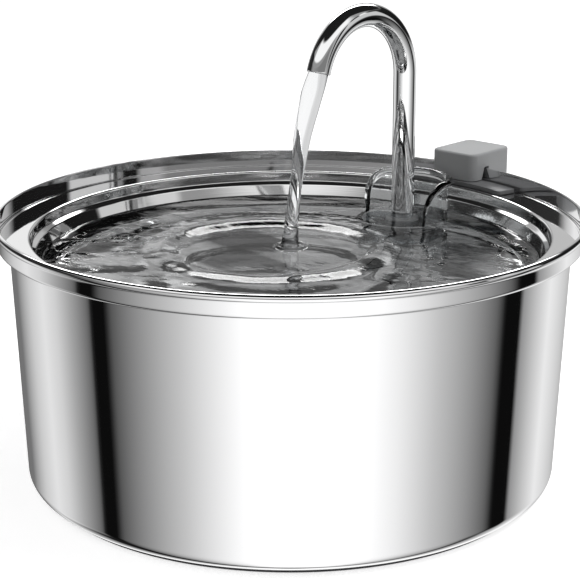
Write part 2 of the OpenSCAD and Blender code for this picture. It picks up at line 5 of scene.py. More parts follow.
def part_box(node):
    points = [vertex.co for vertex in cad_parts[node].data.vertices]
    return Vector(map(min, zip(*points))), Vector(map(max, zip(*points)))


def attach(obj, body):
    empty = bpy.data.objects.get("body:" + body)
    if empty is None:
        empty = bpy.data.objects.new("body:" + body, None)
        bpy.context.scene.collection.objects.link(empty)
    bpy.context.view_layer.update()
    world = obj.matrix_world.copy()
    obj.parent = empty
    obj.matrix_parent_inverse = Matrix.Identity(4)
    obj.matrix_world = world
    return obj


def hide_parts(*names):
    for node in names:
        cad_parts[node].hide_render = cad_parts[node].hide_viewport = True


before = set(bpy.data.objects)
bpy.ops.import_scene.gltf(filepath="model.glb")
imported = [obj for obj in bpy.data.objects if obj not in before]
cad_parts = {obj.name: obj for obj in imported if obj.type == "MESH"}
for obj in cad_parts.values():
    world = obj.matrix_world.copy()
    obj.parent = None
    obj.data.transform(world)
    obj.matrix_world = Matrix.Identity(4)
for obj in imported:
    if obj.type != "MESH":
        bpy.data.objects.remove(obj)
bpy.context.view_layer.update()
scene = bpy.context.scene
scene.view_settings.view_transform = "Standard"
mm = 0.001


# camera, on the bowl's axis
cameraSet = {"azimuth": 38.7, "elevation": 16.68, "distance": 696 * mm, "lookZ": 74.5 * mm, "lens": 108.56,
             "sensor": 36, "shift": -0.5 / 580, "near": 0.01}

def addCamera(s):
    az, el = math.radians(s["azimuth"]), math.radians(s["elevation"])
    toCamera = Vector((math.sin(az) * math.cos(el), -math.cos(az) * math.cos(el), math.sin(el)))
    data = bpy.data.cameras.new("viewCamera")
    data.sensor_width = s["sensor"]
    data.lens = s["lens"]
    data.shift_x = s["shift"]
    data.clip_start = s["near"]
    camera = bpy.data.objects.new("viewCamera", data)
    scene.collection.objects.link(camera)
    camera.location = Vector((0, 0, s["lookZ"])) + toCamera * s["distance"]
    camera.rotation_euler = toCamera.to_track_quat("Z", "Y").to_euler()
    scene.camera = camera

addCamera(cameraSet)
print("camera placed")


# node helpers
def newMaterial(name):
    mat = bpy.data.materials.new(name)
    mat.use_nodes = True
    mat.node_tree.nodes.clear()
    out = mat.node_tree.nodes.new("ShaderNodeOutputMaterial")
    return mat, mat.node_tree, out

def addNode(tree, kind, inputs=None, **props):
    node = tree.nodes.new(kind)
    for key, value in props.items():
        setattr(node, key, value)
    for key, value in (inputs or {}).items():
        if isinstance(value, bpy.types.NodeSocket):
            tree.links.new(value, node.inputs[key])
        else:
            node.inputs[key].default_value = value
    return node

def addRamp(tree, fac, stops):
    ramp = addNode(tree, "ShaderNodeValToRGB", {"Fac": fac})
    points = ramp.color_ramp.elements
    while len(points) > 1:
        points.remove(points[-1])
    for i, (pos, val) in enumerate(stops):
        point = points[0] if i == 0 else points.new(pos)
        point.position = pos
        point.color = (val, val, val, 1) if isinstance(val, (int, float)) else (*val, 1)
    return ramp.outputs["Color"]

def addMath(tree, operation, *values):
    return addNode(tree, "ShaderNodeMath", dict(enumerate(values)), operation=operation).outputs[0]

def addRange(tree, value, low, high, toLow=0.0, toHigh=1.0, ease="LINEAR"):
    inputs = {"Value": value, 1: low, 2: high, 3: toLow, 4: toHigh}
    return addNode(tree, "ShaderNodeMapRange", inputs, interpolation_type=ease).outputs[0]

def addMix(tree, part, a, b):
    return addNode(tree, "ShaderNodeMix", {0: part, 6: a, 7: b}, data_type="RGBA").outputs[2]

def mixShaders(tree, part, a, b):
    return addNode(tree, "ShaderNodeMixShader", {0: part, 1: a, 2: b}).outputs[0]

def addNoise(tree, **inputs):
    return addNode(tree, "ShaderNodeTexNoise", inputs).outputs["Fac"]

def addBump(tree, height, strength, distance):
    inputs = {"Height": height, "Strength": strength, "Distance": distance}
    return addNode(tree, "ShaderNodeBump", inputs).outputs[0]

def objectPoint(tree):
    return addNode(tree, "ShaderNodeTexCoord").outputs["Object"]

def addSurface(tree, out, inputs):
    shader = addNode(tree, "ShaderNodeBsdfPrincipled", inputs)
    tree.links.new(shader.outputs[0], out.inputs["Surface"])


# studio round the object: a white room with dark upright flags, and one soft panel high up behind
studio = {
    "facing": 38.7,  # direction of the camera, the flags are placed from it
    # degrees round from the camera, to the right, and how bright the room is there
    "lowBand": [(-180, 0.15), (-150, 0.18), (-132, 0.63), (-120, 0.82), (-110, 0.68), (-100, 0.4),
                (-89, 0.14), (-87, 0.004), (-79.5, 0.004), (-76, 0.1), (-60, 0.34), (-45, 0.58), (-28, 0.92),
                (-19, 1.1), (34, 1.1), (45, 0.92), (62, 0.57), (80, 0.3), (91, 0.13), (96, 0.004),
                (106, 0.004), (108, 0.3), (119, 0.6), (131, 0.88), (148, 0.66), (180, 0.3)],
    "midBand": [(-180, 0.36), (-175, 0.38), (-172, 0.88), (-160, 0.9), (-150, 0.6), (-141, 0.03),
                (-88, 0.02), (-76, 0.2), (-62, 0.3), (0, 0.21), (54, 0.21), (58, 0.4), (67, 0.36),
                (68, 0.01), (76, 0.01), (77, 0.6), (104, 0.6), (106, 0.01), (150, 0.01), (158, 0.4),
                (171, 0.54), (175, 0.38), (180, 0.36)],
    "highBand": [(-180, 0.5), (-150, 0.35), (-141, 0.3), (-139, 0.01), (-90, 0.01), (-86, 0.12), (-75, 0.3),
                 (0, 0.3), (56, 0.3), (60, 0.65), (77, 0.65), (78.5, 0.01), (87, 0.01), (88, 0.9), (95, 0.9),
                 (96, 0.04), (112, 0.03), (118, 0.01), (150, 0.02), (165, 0.3), (180, 0.5)],
    # what shows through clear plastic and water
    "throughBand": [(-180, 0.84), (-172, 0.7), (-150, 0.74), (-128, 0.5), (-100, 0.3), (-60, 0.6), (60, 1.0),
                    (110, 0.9), (140, 1.0), (180, 1.0)],
    "throughUpper": 0.35,
    # higher up, as parts of the soft panel's brightness
    "upperBand": [(-180, 1.0), (-158, 1.0), (-150, 0.04), (-84, 0.04), (-72, 0.125), (72, 0.125),
                  (84, 0.04), (150, 0.04), (158, 1.0), (180, 1.0)],
    "panel": 8.0,
    # the dark ceiling comes lower at the sides and the back
    "topDark": 0.012,
    "topShift": [(-180, 0.17), (-150, 0.22), (-136, 0.35), (-105, 0.35), (-85, 0.0), (85, 0.0),
                 (105, 0.35), (136, 0.35), (150, 0.22), (180, 0.17)],
    # below the foot: the front of the low band, folded over to the back
    "footBand": [(-180, 1.1), (-161, 1.1), (-152, 0.92), (-135, 0.58), (-120, 0.34), (-104, 0.1),
                 (-100, 0.01), (-80, 0.01), (-76, 0.1), (-60, 0.34), (-45, 0.58), (-28, 0.92), (-19, 1.1),
                 (34, 1.1), (45, 0.92), (62, 0.57), (80, 0.3), (88, 0.04), (94, 0.04), (100, 0.3),
                 (118, 0.57), (135, 0.92), (146, 1.1), (180, 1.1)],
    "floorDark": 0.012,
    # heights, from straight down at -1 to straight up at 1, over which one band gives way to the next
    "floorEdge": (-1.0, -0.985), "footEdge": (-0.62, -0.5), "levelEdge": (-0.1, 0.02),
    "throughEdge": (0.02, 0.2), "highEdge": (0.33, 0.38), "upperEdge": (0.44, 0.5), "topEdge": (0.79, 0.86),
    "plain": 0.5,  # even light for matt surfaces
}

def buildStudio(s):
    world = bpy.data.worlds.new("studio")
    scene.world = world
    world.use_nodes = True
    tree = world.node_tree
    tree.nodes.clear()
    out = addNode(tree, "ShaderNodeOutputWorld")
    coord = addNode(tree, "ShaderNodeTexCoord").outputs["Generated"]
    parts = addNode(tree, "ShaderNodeSeparateXYZ", {"Vector": coord}).outputs
    height = parts["Z"]
    # angle round the object, 0 towards the camera
    angle = addMath(tree, "ARCTAN2", parts["X"], addMath(tree, "MULTIPLY", parts["Y"], -1.0))
    angle = addMath(tree, "SUBTRACT", angle, math.radians(s["facing"]) - math.pi)
    wrapped = addMath(tree, "WRAP", angle, 2 * math.pi, 0.0)
    turn = addMath(tree, "DIVIDE", wrapped, 2 * math.pi)

    def grey(value):
        return value, value, value, 1

    def band(name):
        return addRamp(tree, turn, [((degrees + 180) / 360, value) for degrees, value in s[name]])

    def blendUp(below, above, edge, at=height):
        return addMix(tree, addRange(tree, at, *s[edge], ease="SMOOTHSTEP"), below, above)

    def light(color, strength=1.0):
        return addNode(tree, "ShaderNodeBackground", {"Color": color, "Strength": strength}).outputs[0]

    panel = addNode(tree, "ShaderNodeVectorMath", {0: band("upperBand"), "Scale": s["panel"]},
                    operation="SCALE").outputs[0]
    sides = blendUp(band("midBand"), band("highBand"), "highEdge")
    ceilingHeight = addMath(tree, "ADD", height, band("topShift"))
    upper = blendUp(sides, blendUp(panel, grey(s["topDark"]), "topEdge", ceilingHeight), "upperEdge")
    below = blendUp(grey(s["floorDark"]), band("footBand"), "floorEdge")
    mirrored = blendUp(blendUp(below, band("lowBand"), "footEdge"), upper, "levelEdge")
    calm = blendUp(sides, grey(s["throughUpper"]), "upperEdge")
    through = blendUp(band("throughBand"), calm, "throughEdge")
    # each kind of ray has its own room, and the camera sees white
    path = addNode(tree, "ShaderNodeLightPath").outputs
    room = mixShaders(tree, path["Is Glossy Ray"], light(grey(1), s["plain"]), light(mirrored))
    room = mixShaders(tree, path["Is Transmission Ray"], room, light(through))
    room = mixShaders(tree, path["Is Camera Ray"], room, light(grey(1)))
    tree.links.new(room, out.inputs["Surface"])

buildStudio(studio)

# table top and the soft lamp overhead
tableTop = {"size": 3.0, "drop": 0.2 * mm, "paper": 0.86, "grain": 0.01, "grainScale": 220.0, "glow": 0.62,
            "lamp": 8.0, "lampSize": 0.8, "lampAt": (0.45, 0.4, 1.1), "lampAim": (0, 0, 0.08)}

def buildTable(s):
    mesh = bpy.data.meshes.new("tableTop")
    h = s["size"] / 2
    mesh.from_pydata([(-h, -h, 0), (h, -h, 0), (h, h, 0), (-h, h, 0)], [], [(0, 1, 2, 3)])
    top = bpy.data.objects.new("tableTop", mesh)
    scene.collection.objects.link(top)
    top.location.z = -s["drop"]
    mat, tree, out = newMaterial("tablePaper")
    path = addNode(tree, "ShaderNodeLightPath").outputs
    grain = addNoise(tree, Scale=s["grainScale"], Detail=4.0)
    tone = addRamp(tree, grain, [(0.3, s["paper"] - s["grain"]), (0.7, s["paper"] + s["grain"])])
    paper = addNode(tree, "ShaderNodeBsdfDiffuse", {"Color": tone}).outputs[0]
    glow = addNode(tree, "ShaderNodeEmission", {"Color": (1, 1, 1, 1), "Strength": s["glow"]}).outputs[0]
    both = addNode(tree, "ShaderNodeAddShader", {0: paper, 1: glow}).outputs[0]
    tree.links.new(mixShaders(tree, path["Is Camera Ray"], paper, both), out.inputs["Surface"])
    mesh.materials.append(mat)
    top.visible_glossy = False
    top.visible_transmission = False
    lamp = bpy.data.lights.new("softLamp", "AREA")
    lamp.shape = "DISK"
    lamp.size = s["lampSize"]
    lamp.energy = s["lamp"]
    lampObj = bpy.data.objects.new("softLamp", lamp)
    scene.collection.objects.link(lampObj)
    lampObj.location = s["lampAt"]
    lampObj.rotation_euler = (Vector(s["lampAt"]) - Vector(s["lampAim"])).to_track_quat("Z", "Y").to_euler()
    lampObj.visible_glossy = False
    lampObj.visible_transmission = False

buildTable(tableTop)
print("studio lit")


# finishes
def mirrorSteel(name, color, rough, scratch, around=True):
    mat, tree, out = newMaterial(name)
    coord = objectPoint(tree)
    # long fine polishing lines that run round the axis, and a faint smear of wiped water
    scale = (6, 6, 900) if around else (900, 900, 6)
    stretch = addNode(tree, "ShaderNodeMapping", {"Vector": coord, "Scale": scale}).outputs[0]
    lines = addNoise(tree, Vector=stretch, Scale=3.0, Detail=3.0)
    smear = addNoise(tree, Vector=coord, Scale=26.0, Detail=5.0, Roughness=0.6)
    addSurface(tree, out, {
        "Base Color": addRamp(tree, smear, [(0.3, [c * 0.985 for c in color]), (0.7, color)]),
        "Metallic": 1.0,
        "Roughness": addRange(tree, smear, 0.35, 0.75, rough, rough * 2.2),
        "Normal": addBump(tree, lines, scratch, 0.02 * mm)})
    return mat

def clearPlastic(name, color, ior, rough):
    mat, tree, out = newMaterial(name)
    haze = addNoise(tree, Scale=60.0, Detail=4.0)
    addSurface(tree, out, {
        "Base Color": (*color, 1),
        "Roughness": addRange(tree, haze, 0.4, 0.7, rough, rough * 3),
        "Normal": addBump(tree, haze, 0.08, 0.4 * mm),
        "Transmission Weight": 1.0,
        "IOR": ior})
    return mat

def mouldedPlastic(name, color, rough, grain, size=900.0, coat=0.0):
    mat, tree, out = newMaterial(name)
    coord = objectPoint(tree)
    pebble = addNoise(tree, Vector=coord, Scale=size, Detail=3.0, Roughness=0.55)
    cloud = addNoise(tree, Vector=coord, Scale=45.0, Detail=4.0)
    dark, light = [c * 0.93 for c in color], [min(1, c * 1.05) for c in color]
    addSurface(tree, out, {
        "Base Color": addRamp(tree, cloud, [(0.3, dark), (0.7, light)]),
        "Roughness": addRange(tree, cloud, 0.3, 0.7, rough * 0.88, min(1, rough * 1.12)),
        "Normal": addBump(tree, pebble, grain, 0.1 * mm),
        "Coat Weight": coat})
    return mat

def cellFoam(name, dark, light, size):
    mat, tree, out = newMaterial(name)
    cells = addNode(tree, "ShaderNodeTexVoronoi", {"Vector": objectPoint(tree), "Scale": size})
    pitDepthAndShade = cells.outputs["Distance"]
    addSurface(tree, out, {
        # painted shade: the colour darkens in the pits where the bump sinks
        "Base Color": addRamp(tree, pitDepthAndShade, [(0.1, dark), (0.5, light)]),
        "Roughness": 0.92,
        "Normal": addBump(tree, pitDepthAndShade, 0.9, 0.6 * mm)})
    return mat

def stackedSheets(name, color, pitch):
    mat, tree, out = newMaterial(name)
    inputs = {"Vector": objectPoint(tree), "Scale": pitch, "Distortion": 0.4}
    layers = addNode(tree, "ShaderNodeTexWave", inputs, bands_direction="Z").outputs["Fac"]
    addSurface(tree, out, {
        "Base Color": addRamp(tree, layers, [(0.2, [c * 0.5 for c in color]), (0.5, color)]),
        "Metallic": 1.0,
        "Roughness": 0.42,
        "Normal": addBump(tree, layers, 0.5, 0.2 * mm)})
    return mat

finishes = {
    "outer_bowl": mirrorSteel("bowlMirror", (0.93, 0.93, 0.935), 0.028, 0.12),
    "drinking_tray": mirrorSteel("trayMirror", (0.93, 0.93, 0.93), 0.03, 0.12),
    "faucet_tube": mirrorSteel("faucetChrome", (0.93, 0.935, 0.94), 0.022, 0.06, around=False),
    "overflow_housing": clearPlastic("housingClear", (0.97, 0.985, 0.99), 1.49, 0.015),
    "strainer_disc": clearPlastic("strainerSmoke", (0.42, 0.45, 0.47), 1.49, 0.12),
    "base_ring": mouldedPlastic("ringRubber", (0.05, 0.05, 0.055), 0.75, 0.35),
    "clip_block": mouldedPlastic("clipGrey", (0.33, 0.335, 0.34), 0.52, 0.22, 1400.0),
    "clip_plate": mouldedPlastic("clipGreyPlate", (0.135, 0.137, 0.14), 0.5, 0.22, 1400.0),
    "housing_gasket": mouldedPlastic("gasketRubber", (0.06, 0.06, 0.065), 0.6, 0.2),
    "faucet_o_rings": mouldedPlastic("oRingRubber", (0.035, 0.035, 0.04), 0.45, 0.15),
    "cord_gland": mouldedPlastic("glandRubber", (0.05, 0.05, 0.055), 0.7, 0.3),
    "rear_bush": mouldedPlastic("rearBushRubber", (0.05, 0.05, 0.055), 0.7, 0.3),
    "front_bush": mouldedPlastic("frontBushRubber", (0.05, 0.05, 0.055), 0.7, 0.3),
    "suction_cups": mouldedPlastic("suckerRubber", (0.07, 0.07, 0.075), 0.5, 0.15),
    "housing_nut": mouldedPlastic("nutWhite", (0.84, 0.85, 0.85), 0.34, 0.12, coat=0.2),
    "filter_lid": mouldedPlastic("lidWhite", (0.85, 0.86, 0.86), 0.34, 0.12, coat=0.2),
    "filter_basket": mouldedPlastic("basketWhite", (0.86, 0.87, 0.87), 0.36, 0.12, coat=0.2),
    "faucet_plug": mouldedPlastic("plugWhite", (0.80, 0.81, 0.82), 0.3, 0.1, coat=0.2),
    "flow_knob": mouldedPlastic("knobWhite", (0.86, 0.86, 0.85), 0.3, 0.1, coat=0.2),
    "riser_tube": mouldedPlastic("riserSilicone", (0.70, 0.72, 0.73), 0.38, 0.1, coat=0.3),
    "pump_body": mouldedPlastic("pumpShell", (0.055, 0.055, 0.06), 0.48, 0.4, 1100.0),
    "pump_cover": mouldedPlastic("coverShell", (0.05, 0.05, 0.055), 0.5, 0.4, 1100.0),
    "potting_cap": mouldedPlastic("pottingResin", (0.03, 0.03, 0.035), 0.16, 0.05, 60.0, coat=0.5),
    "impeller_shaft": mouldedPlastic("shaftCeramic", (0.86, 0.85, 0.80), 0.2, 0.05),
    "rotor_magnet": mouldedPlastic("magnetFerrite", (0.10, 0.10, 0.11), 0.4, 0.5, 1600.0),
    "impeller": mouldedPlastic("impellerBlue", (0.10, 0.24, 0.60), 0.36, 0.1),
    "stator_core": stackedSheets("coreSheets", (0.46, 0.47, 0.48), 320.0),
    "stator_coil": stackedSheets("coilWire", (0.76, 0.38, 0.17), 520.0),
    "filter_foam": cellFoam("filterFoam", (0.10, 0.22, 0.38), (0.34, 0.55, 0.78), 900.0),
    "carbon_filter": cellFoam("carbonGrains", (0.012, 0.012, 0.013), (0.09, 0.09, 0.095), 620.0),
    "pump_foam": cellFoam("pumpFoam", (0.02, 0.02, 0.022), (0.15, 0.15, 0.16), 800.0),
}

for nodeName, finish in finishes.items():
    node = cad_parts[nodeName]
    for slot in node.material_slots:
        slot.material = finish
print("finishes on the frame")


# shared mesh helpers
def newMesh(name, verts, faces):
    mesh = bpy.data.meshes.new(name)
    mesh.from_pydata(verts, [], faces)
    mesh.update()
    return mesh

def placePiece(name, mesh, mat, body, smoothAngle=180):
    mesh.materials.clear()
    mesh.materials.append(mat)
    for poly in mesh.polygons:
        poly.use_smooth = True
    if smoothAngle < 180:
        mesh.set_sharp_from_angle(angle=math.radians(smoothAngle))
    mesh.name = name
    piece = bpy.data.objects.new(name, mesh)
    scene.collection.objects.link(piece)
    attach(piece, body)
    return piece

def loftMesh(name, layers, closed=False):
    # rows of points joined side by side, with both ends capped or the last row joined to the first
    verts, faces = [v for layer in layers for v in layer], []
    n, m = len(layers[0]), len(layers)
    for i in range(m if closed else m - 1):
        for k in range(n):
            a, b = i * n + k, i * n + (k + 1) % n
            c, d = (i + 1) % m * n + (k + 1) % n, (i + 1) % m * n + k
            faces.append((a, b, c, d))
    if not closed:
        faces.append(tuple(range(n - 1, -1, -1)))
        faces.append(tuple(range((m - 1) * n, m * n)))
    return newMesh(name, verts, faces)

def joinMesh(mesh, extra):
    joined = bmesh.new()
    joined.from_mesh(mesh)
    joined.from_mesh(extra)
    joined.to_mesh(mesh)
    joined.free()

def cutMesh(name, mesh, tools):
    # booleans, applied to a plain mesh
    work = bpy.data.objects.new(name + "Work", mesh)
    scene.collection.objects.link(work)
    spare = []
    for i, (operation, tool) in enumerate(tools):
        cutter = bpy.data.objects.new(name + "Cutter" + str(i), tool)
        scene.collection.objects.link(cutter)
        spare.append(cutter)
        mod = work.modifiers.new("cut" + str(i), "BOOLEAN")
        mod.operation = operation
        mod.object = cutter
        mod.solver = "EXACT"
    bpy.context.view_layer.update()
    done = bpy.data.meshes.new_from_object(work.evaluated_get(bpy.context.evaluated_depsgraph_get()))
    for ob in spare + [work]:
        bpy.data.objects.remove(ob)
    return done

def circleRow(radius, z, steps, at=(0.0, 0.0)):
    # one level ring of points, from sizes in mm
    row = []
    for k in range(steps):
        t = 2 * math.pi * k / steps
        row.append(((at[0] + radius * math.cos(t)) * mm, (at[1] + radius * math.sin(t)) * mm, z * mm))
    return row

def arcPoints(cx, cz, r, start, end, steps):
    points = []
    for k in range(steps + 1):
        t = math.radians(start + (end - start) * k / steps)
        points.append((cx + r * math.cos(t), cz + r * math.sin(t)))
    return points

def supported(section, near=0.22, least=1.0):
    # extra points close to the ends of long straight runs keep their reflections flat
    points = []
    for (r0, z0), (r1, z1) in zip(section, section[1:] + section[:1]):
        points.append((r0, z0))
        length = math.hypot(r1 - r0, z1 - z0)
        if length > least:
            for part in (near / length, 1 - near / length):
                points.append((r0 + (r1 - r0) * part, z0 + (z1 - z0) * part))
    return points

def lathed(name, section, turns):
    # closed section in mm, swept once round the bowl's axis
    section = supported(section)
    rows = []
    for i in range(turns):
        t = 2 * math.pi * i / turns
        rows.append([(r * math.cos(t) * mm, r * math.sin(t) * mm, z * mm) for r, z in section])
    return loftMesh(name, rows, closed=True)

def centreDisc(radius, low, high):
    # closes the small hole that a lathed piece leaves on the axis
    return loftMesh("disc", [circleRow(radius, z, 64) for z in (low, high)])


# deep bowl: rounded foot, tapered body, ledge, upright band and rolled rim
bowl = {"bottom": 1.5, "footRound": 5.0, "footR": 105.8, "bodyR": 109.7, "bandR": 114.7, "under": 98.2,
        "crease": 0.25, "ledge": 99.0, "bandRound": 1.5, "ledgeRound": 0.4, "rimR": 114.34, "rimZ": 105.55,
        "rim": 1.45, "rimTurn": (-74, 104), "sheet": 0.8, "centre": 2.0, "disc": 2.2, "turns": 720}

def buildBowl(s):
    t, low, under, crease, rimZ = s["sheet"], s["bottom"], s["under"], s["crease"], s["rimZ"]
    foot, band, corner = s["footRound"], s["bandRound"], s["ledgeRound"]
    body, inner = s["bodyR"], s["bandR"] - t
    lean = math.degrees(math.atan2(body - s["footR"], under - low))
    cx = s["footR"] - foot * math.tan(math.radians(45 - lean / 2))
    cz = low + foot
    # outside, from the middle up to the rim
    section = [(s["centre"], low), (cx * 0.6, low)]
    section += arcPoints(cx, cz, foot, -90, -lean, 14)
    section += [(body - 0.08, under - 2.0), (body, under - crease), (body + crease, under)]
    section += arcPoints(s["bandR"] - band, under + band, band, -90, 0, 10)
    section += [(s["bandR"], rimZ - 1.6)]
    section += arcPoints(s["rimR"], rimZ, s["rim"], *s["rimTurn"], 26)
    # inside, down to the middle again
    section += [(inner + 0.02, rimZ + 1.25), (inner, rimZ + 0.9), (inner, s["ledge"] + 0.5)]
    section += arcPoints(inner - corner, s["ledge"] + corner, corner, 0, -90, 4)
    section += [(body - t + 0.3, s["ledge"]), (body - t, s["ledge"] - corner)]
    section += arcPoints(cx, cz, foot - t, -lean, -90, 8)
    section += [(cx * 0.6, low + t), (s["centre"], low + t)]
    section.reverse()
    mesh = lathed("bowlShell", section, s["turns"])
    joinMesh(mesh, centreDisc(s["disc"], low, low + t))
    piece = placePiece("bowlShell", mesh, finishes["outer_bowl"], "tank", 50)
    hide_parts("outer_bowl")

buildBowl(bowl)

# drinking tray: flange on the ledge, rolled edge, short neck, shoulder and sloped wall
tray = {"floor": 74.0, "flange": 99.8, "flangeR": 113.4, "edgeRoll": 0.33, "beadR": 102.45, "bead": 0.95,
        "neckR": 101.3, "neckLow": 95.5, "shoulderR": 99.44, "shoulderZ": 94.3, "bendR": 96.9, "bendZ": 87.5,
        "floorR": 95.5, "dishRound": 4.0, "sheet": 0.8, "centre": 2.0, "disc": 2.2, "turns": 720,
        "holeAt": (0.0, 76.5), "hole": 11.8, "holeLevels": (70, 76),
        "notchAngle": 86.5, "notchIn": 107.4, "notchOut": 116, "notch": 8.0, "notchLevels": (98, 102)}

def traySection(s):
    t, f, low, roll, dish = s["sheet"], s["flange"], s["floor"], s["edgeRoll"], s["dishRound"]
    bendR, bendZ, neckR, neckLow = s["bendR"], s["bendZ"], s["neckR"], s["neckLow"]
    shoulderR, shoulderZ, beadEnd = s["shoulderR"], s["shoulderZ"], s["beadR"] + 0.6
    lean = math.degrees(math.atan2(bendR - s["floorR"], bendZ - low))
    cx = s["floorR"] - dish * math.tan(math.radians(45 - lean / 2))
    cz = low + dish
    # upper side, from the middle out to the flange's edge
    section = [(s["centre"], low), (cx * 0.7, low)]
    section += arcPoints(cx, cz, dish, -90, -lean, 10)
    section += [(bendR - 0.1, bendZ - 0.7), (bendR + 0.1, bendZ + 0.5)]
    section += [(shoulderR - 0.08, shoulderZ - 0.2), (shoulderR + 0.12, shoulderZ + 0.05)]
    section += [(neckR - 0.2, neckLow - 0.15), (neckR, neckLow + 0.1)]
    section += arcPoints(s["beadR"], f - s["bead"], s["bead"], 180, 90, 12)
    outer = s["flangeR"] - roll
    section += [(beadEnd, f), (outer - roll - 0.25, f)]
    section += arcPoints(outer, f - 0.05, roll, 150, 0, 8)
    # underside, back to the middle
    section += [(s["flangeR"], f - t + 0.2), (s["flangeR"] - 0.2, f - t), (beadEnd, f - t)]
    section += [(neckR + t, f - t - 0.5), (neckR + t, neckLow - 0.2)]
    section += [(shoulderR + t, shoulderZ - 0.4), (bendR + t, bendZ)]
    section += arcPoints(cx, cz, dish + t, -lean, -90, 10)
    section += [(cx * 0.7, low - t), (s["centre"], low - t)]
    section.reverse()
    return section

def buildTray(s):
    mesh = lathed("trayShell", traySection(s), s["turns"])
    hole = loftMesh("hole", [circleRow(s["hole"], z, 96, s["holeAt"]) for z in s["holeLevels"]])
    a = math.radians(s["notchAngle"])
    half, near, far = s["notch"] / 2, s["notchIn"], s["notchOut"]
    layers = []
    for z in s["notchLevels"]:
        layers.append([((r * math.cos(a) - q * math.sin(a)) * mm, (r * math.sin(a) + q * math.cos(a)) * mm,
                        z * mm) for r, q in ((near, -half), (far, -half), (far, half), (near, half))])
    notch = loftMesh("notch", layers)
    mesh = cutMesh("trayShell", mesh, [("DIFFERENCE", hole), ("DIFFERENCE", notch)])
    joinMesh(mesh, centreDisc(s["disc"], s["floor"] - s["sheet"], s["floor"]))
    piece = placePiece("trayShell", mesh, finishes["drinking_tray"], "tray", 60)
    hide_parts("drinking_tray")

buildTray(tray)

# gooseneck tube with a rounded mouth
faucet = {"at": (0.0, 76.5), "heading": (-0.0872, -0.9962), "bendZ": 151.0, "bendR": 27.0, "bendAngle": 165.0,
          "tube": 4.8, "bore": 4.0, "sides": 96, "riseSteps": 12, "bendSteps": 150, "mouthSteps": 8}

def buildFaucet(s):
    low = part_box("faucet_tube")[0][2] / mm
    ax, ay = s["at"]
    hx, hy = s["heading"]
    # how far out, how high and how far bent over
    path = [(0.0, low + (s["bendZ"] - low) * k / s["riseSteps"], 0.0) for k in range(s["riseSteps"])]
    for k in range(s["bendSteps"] + 1):
        turned = s["bendAngle"] * k / s["bendSteps"]
        t = math.radians(turned)
        path.append((s["bendR"] * (1 - math.cos(t)), s["bendZ"] + s["bendR"] * math.sin(t), turned))

    def ring(out, z, turned, r):
        t = math.radians(turned)
        points = []
        for k in range(s["sides"]):
            a = 2 * math.pi * k / s["sides"]
            inPlane, across = r * math.cos(a), r * math.sin(a)
            o = out + inPlane * math.cos(t)
            points.append(((ax + hx * o - hy * across) * mm, (ay + hy * o + hx * across) * mm,
                           (z - inPlane * math.sin(t)) * mm))
        return points

    def shifted(end, by):
        out, z, turned = end
        t = math.radians(turned)
        return out + by * math.sin(t), z + by * math.cos(t), turned

    half = (s["tube"] - s["bore"]) / 2
    rows = [ring(*p, s["tube"]) for p in path]
    for k in range(1, s["mouthSteps"]):
        t = math.pi * k / s["mouthSteps"]
        rows.append(ring(*shifted(path[-1], half * math.sin(t)), s["bore"] + half + half * math.cos(t)))
    rows += [ring(*p, s["bore"]) for p in reversed(path)]
    mesh = loftMesh("faucetPipe", rows, closed=True)
    piece = placePiece("faucetPipe", mesh, finishes["faucet_tube"], "faucet", 50)
    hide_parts("faucet_tube")

buildFaucet(faucet)
print("steel formed")


# water in the dish: one broad ring round the landing place, streaks to the left, calm to the right
pool = {
    "level": 89.7 * mm, "edge": 97.6 * mm, "rings": 190, "turns": 300,
    "landing": (-6.0 * mm, 8.0 * mm), "ringCentre": (-9.7 * mm, 0.7 * mm),
    # round waves: height, radius and width
    "ring": (1.35 * mm, 43.5 * mm, 5.4 * mm), "trough": (-0.45 * mm, 34 * mm, 6 * mm),
    "outer": (0.35 * mm, 57 * mm, 4 * mm), "crown": (1.0 * mm, 5.6 * mm, 1.1 * mm),
    "warp": 1.6 * mm, "warpStep": 34, "swell": 0.5 * mm, "swellStep": 19,
    # streaks lie across the view, and are weaker to the right and inside the ring
    "streak": 0.34 * mm, "streakTurn": 38.7, "streakStep": 62.0,
    "streakLayers": [(1.0, 0.3, 1.5, 5.0), (0.45, 0.8, 3.2, 9.0)],  # share, steps across and along, seed
    "weak": 0.35, "weakFrom": 5 * mm, "weakOver": 14 * mm, "insideOver": 5 * mm,
    "creep": 0.35 * mm, "creepWidth": 2.5 * mm,  # the water climbs a little at the wall
    # painted reflections in the water's colour, a darker patch inside the ring and a lighter one by the wall:
    # centre, radius, soft edge and tint
    "paintedReflections": [((-0.0275, 0.003, 0.0897), 20 * mm, 5 * mm, (0.02, 0.02, 0.021)),
                ((-0.052, -0.079, 0.0897), 26 * mm, 3 * mm, (0.95, 0.955, 0.955))],
    "patchWarp": 30 * mm,
}

def fade(x):
    return 1 / (1 + math.exp(x))

def ridge(at, height, radius, width):
    return height * math.exp(-((at - radius) / width) ** 2)

